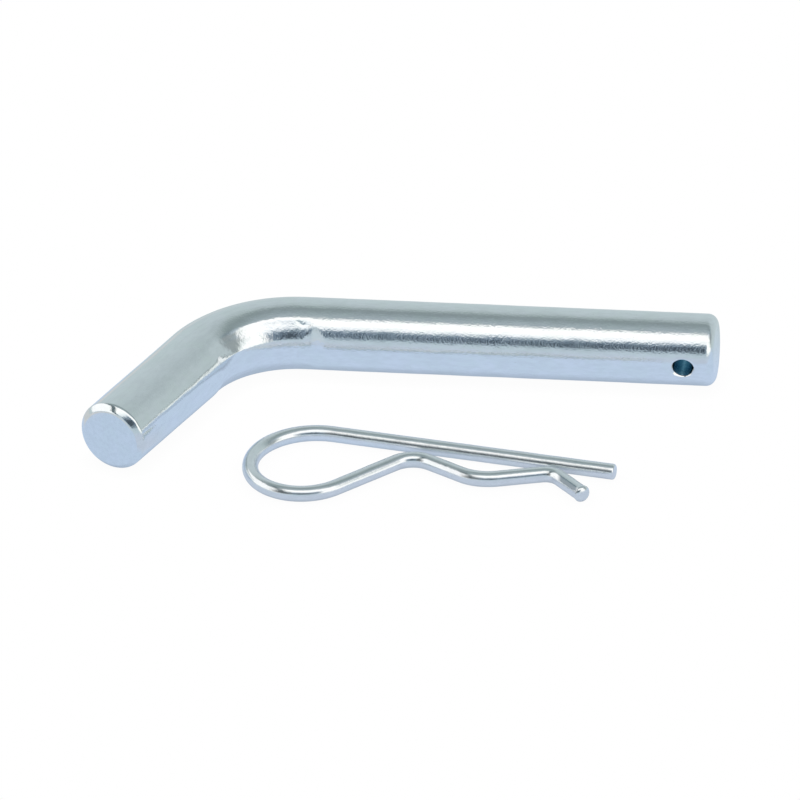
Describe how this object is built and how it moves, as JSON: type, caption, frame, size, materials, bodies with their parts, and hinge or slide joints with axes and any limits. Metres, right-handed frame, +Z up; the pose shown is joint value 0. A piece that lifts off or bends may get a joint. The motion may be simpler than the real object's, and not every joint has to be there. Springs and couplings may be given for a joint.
{
  "type": "hitch pin with r-clip",
  "caption": "Bent steel hitch pin with a cross drilled free end, and the loose spring R-clip that retains it.",
  "frame": {"origin": "crossing of the straight shank's axis and the cross hole's axis", "axes": "+X along the shank to its free end, +Z up from the floor that the pin and clip lie on, handle leg and clip towards -Y"},
  "size_m": [0.1345, 0.0686, 0.0158],
  "materials": {
    "zinc_plated_bar": "bright zinc plate with a faint blue passivation",
    "zinc_plated_wire": "bright zinc plated spring wire"
  },
  "bodies": {
    "hitch_pin": {"hitch_pin": "zinc_plated_bar"},
    "r_clip": {"r_clip_straight_leg": "zinc_plated_wire"},
    "r_clip_spring": {"r_clip_spring_leg": "zinc_plated_wire"}
  },
  "joints": [
    {"name": "clip_lift", "type": "slide", "parent": "hitch_pin", "child": "r_clip", "axis": [0, 0, 1], "range_m": [0, 0.04]},
    {"name": "clip_spring", "type": "hinge", "parent": "r_clip", "child": "r_clip_spring", "pos_m": [-0.08903, -0.05253, -0.00619], "axis": [0, 0, -1], "range_deg": [0, 6], "stiffness_Nm_per_rad": 28}
  ]
}
